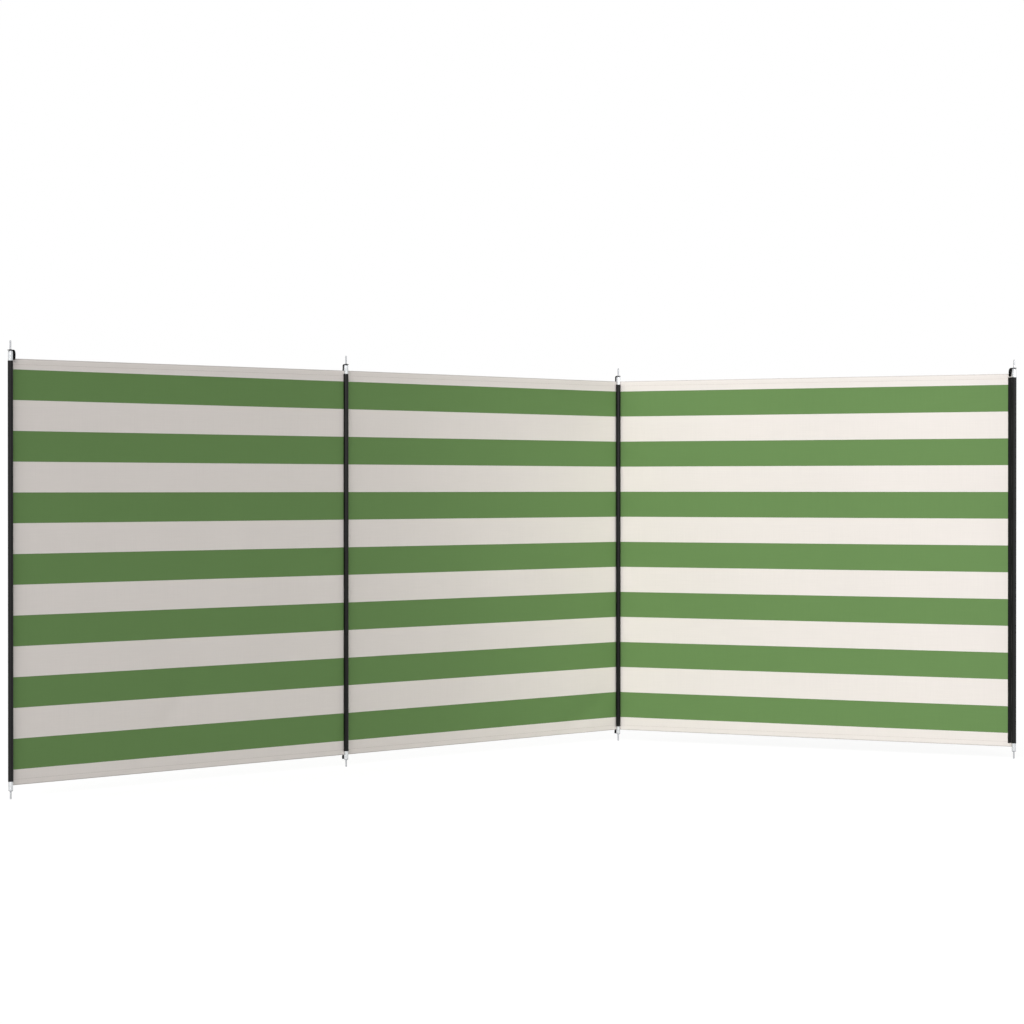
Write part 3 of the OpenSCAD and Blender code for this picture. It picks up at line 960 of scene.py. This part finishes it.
def peg_loop(number):
    """One loop: down behind the tube, round and back up to the hem."""
    front = CLOTH_FRONT - 0.1 * MM
    back = front + 2 * LOOP_MID
    low = LOOP_LOW + LOOP_MID + 1.2 * MM
    line = [(HEM_BACK + WEB * 0.6, CLOTH_BOTTOM + 0.017), (HEM_BACK + WEB * 0.6, CLOTH_BOTTOM + 0.003),
            (front + 0.3 * MM, CLOTH_BOTTOM - 0.003), (front, low)]
    line += arc(front + LOOP_MID, low, LOOP_MID, (210, 240, 270, 300, 330))
    line += [(back, low), (back, low + 4.5 * MM), (back - 0.5 * MM, low + 8.5 * MM),
             (HEM_BACK + WEB * 2.2, CLOTH_BOTTOM - 0.0005), (HEM_BACK + WEB * 1.7, CLOTH_BOTTOM + 0.004),
             (HEM_BACK + WEB * 1.7, CLOTH_BOTTOM + 0.017)]
    across = Vector((1, 0, 0))
    stations = eased([(POLE[number] + Vector((0, depth, z)), across) for depth, z in line], 3)
    return ribbon(f"peg_loop_webbing_{number}", stations, LOOP_WIDTH)


loops = {number: peg_loop(number) for number in (2, 3)}
print("peg loops hang", round((CLOTH_BOTTOM - LOOP_LOW) / MM, 1), "mm below the cloth")

# %% [markdown]
# ## Stitches
# Sewing is what makes cloth look made. One stitch is a six-sided bar with tapered ends, sunk a
# little into the cloth. It has only twenty faces, because it is repeated thousands of times.
# An Array modifier repeats it along a row on the flat strip, and then every row is folded as
# the cloth is.

# %% Sew one stitch and rows of it
STITCH = 3.8 * MM
STITCH_PITCH = 5.5 * MM
THREAD = 0.42 * MM
TIP = 0.35

bpy.ops.object.select_all(action="DESELECT")
bpy.ops.mesh.primitive_cylinder_add(vertices=6, radius=THREAD, depth=STITCH * 0.6,
                                    end_fill_type="NGON")
master = bpy.context.object
master.name = "stitch"
bpy.ops.object.mode_set(mode="EDIT")
bpy.ops.mesh.select_mode(type="FACE")
for side in (1, -1):
    bpy.ops.mesh.select_all(action="DESELECT")
    bpy.ops.object.mode_set(mode="OBJECT")
    for polygon in master.data.polygons:
        polygon.select = polygon.normal.z * side > 0.9
    bpy.ops.object.mode_set(mode="EDIT")
    bpy.ops.mesh.extrude_region_move(TRANSFORM_OT_translate={"value": (0, 0, side * STITCH * 0.2)})
    bpy.ops.transform.resize(value=(TIP, TIP, 1), center_override=(0, 0, side * STITCH * 0.5))
bpy.ops.object.mode_set(mode="OBJECT")
master.data.transform(Matrix.Rotation(math.radians(90), 4, "Y"))
print("one stitch has", len(master.data.polygons), "faces")


def stitch_row(start, end):
    """A row of stitches on the flat strip, from one (run, depth, z) to another."""
    start, end = Vector(start), Vector(end)
    step = (end - start).normalized()
    row = bpy.data.objects.new("row", master.data.copy())
    bpy.context.scene.collection.objects.link(row)
    if abs(step.z) > 0.5:
        row.data.transform(Matrix.Rotation(math.radians(-90), 4, "Y"))
    count = max(1, int((end - start).length / STITCH_PITCH))
    modify(row, "ARRAY", count=count, use_relative_offset=False, use_constant_offset=True,
           constant_offset_displace=step * STITCH_PITCH)
    row.data.transform(Matrix.Translation(start + step * STITCH_PITCH / 2))
    return row


def sew(name, rows, thread_material, place=folded):
    """Join rows of stitches, fold them with the cloth and give them their thread."""
    made = [stitch_row(start, end) for start, end in rows]
    bpy.ops.object.select_all(action="DESELECT")
    for row in made:
        row.select_set(True)
    bpy.context.view_layer.objects.active = made[0]
    if len(made) > 1:
        bpy.ops.object.join()
    piece = bpy.context.view_layer.objects.active
    piece.name = piece.data.name = name
    for vertex in piece.data.vertices:
        vertex.co = place(*vertex.co)
    piece.data.update()
    piece.data.materials.append(thread_material)
    smooth(piece, 60)
    return piece


# %% [markdown]
# ## Rows of stitches
# One row holds each hem, 18.5 mm from its edge, and shows on both faces. Two rows hold the
# seam and each middle sleeve, seen from behind. The end flaps have two rows through all their
# layers.

# %% Sew the hems, seams and flaps
PROUD = 0.1 * MM
FACE = LAYER_DEPTH - SHEET / 2 - PROUD
BACK = HEM_BACK + PROUD
MAIN_BACK = LAYER_DEPTH + SHEET / 2 + PROUD
STRIP_BACK = MAIN_BACK + SHEET + LAYER_GAP
HEM_ROW = 18.5 * MM
SEAM_ROW = 4.5 * MM
SLEEVE_ROW = 4 * MM


def hem_rows(start, end):
    """The rows of both hems on both faces, between two runs."""
    heights = (CLOTH_BOTTOM + HEM_ROW, CLOTH_TOP - HEM_ROW)
    return [((start, depth, z), (end, depth, z)) for z in heights for depth in (FACE, BACK)]


def back_rows(runs, depth):
    """Upright rows on the back at these runs."""
    return [((run, depth, STRIP_LOW), (run, depth, STRIP_HIGH)) for run in runs]


hem_left = sew("hem_stitches_left", hem_rows(LEFT_END + 0.002, SEAM_RUN), WHITE_THREAD)
hem_main = sew("hem_stitches_main", hem_rows(SEAM_RUN, RIGHT_RUN - 0.002), WHITE_THREAD)
seam_stitches = sew(
    "seam_stitches", back_rows((SEAM_RUN - SEAM_ROW, SEAM_RUN + SEAM_ROW), STRIP_BACK), BLACK_THREAD)
corner_stitches = sew(
    "corner_sleeve_stitches", back_rows((-SLEEVE_ROW, CORNER_ARC + SLEEVE_ROW), MAIN_BACK), BLACK_THREAD)


def flap_stitches(number):
    """The two rows of one end flap, on the black front and on the striped back."""
    front = (OVER_MM - 0.24) * MM
    rows = []
    for along in (12.5 * MM, (FLAP_MM[number] - 3) * MM):
        depth = STRIP_BACK if along < TURN_BACK - END_MARGIN else MAIN_BACK
        rows.append(((along, front, SLEEVE_LOW + SLEEVE_ROW), (along, front, SLEEVE_HIGH - SLEEVE_ROW)))
        rows.append(((along, depth, STRIP_LOW), (along, depth, STRIP_HIGH)))
    piece = sew(f"flap_stitches_{number}", rows, BLACK_THREAD, lambda a, d, z: at_end(number, a, d, z))
    if number == 4:
        piece.data.flip_normals()
    return piece


flap_rows = {number: flap_stitches(number) for number in (1, 4)}
bpy.data.objects.remove(master)
sewn = [hem_left, hem_main, seam_stitches, corner_stitches, *flap_rows.values()]
print("stitch faces:", sum(len(rows.data.polygons) for rows in sewn))

# %% [markdown]
# ## Who moves with whom
# The left bay folds beside the second pole and the right bay swings round the corner pole. Everything
# at an end pole rides on that pole's bay; the seam strip and the middle sleeves, straps and peg loops
# ride on the middle bay, and the two lengths of cloth and their stitches stay where they were laid.

for piece in (cloth_left, hem_left):
    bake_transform(piece)
for piece in (cloth_main, hem_main, corner_stitches):
    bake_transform(piece)
for piece in (left_turn, sleeves[1], straps[1], flap_rows[1]):
    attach(piece, "left_bay")
for piece in (seam_strip, seam_stitches, sleeves[2], sleeves[3], straps[2], straps[3], loops[2], loops[3]):
    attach(piece, "middle_bay")
for piece in (right_turn, sleeves[4], straps[4], flap_rows[4]):
    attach(piece, "right_bay")

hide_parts("left_panel", "left_top_hem", "left_bottom_hem")
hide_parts("middle_panel", "middle_top_hem", "middle_bottom_hem", "corner_cloth",
            "right_panel", "right_top_hem", "right_bottom_hem")
for number in (1, 2, 3, 4):
    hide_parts(f"sleeve_{number}")
    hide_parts(f"strap_{number}")
for number in (2, 3):
    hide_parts(f"peg_loop_{number}")


# %% [markdown]
# ## Last, the size
# Both boxes, the CAD model's and the finished windbreak's, are printed so that they can be
# compared; the softness of cloth can make them differ a little. The finished windbreak has
# to fill the same box as the CAD model, give or take the softness of cloth.

# %% Write the sizes and finish
VISUAL_BOX = [list(corner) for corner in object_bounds()]
for name, box in (("CAD", CAD_BOX), ("visual", VISUAL_BOX)):
    print(name, "box", [[round(v, 4) for v in corner] for corner in box])
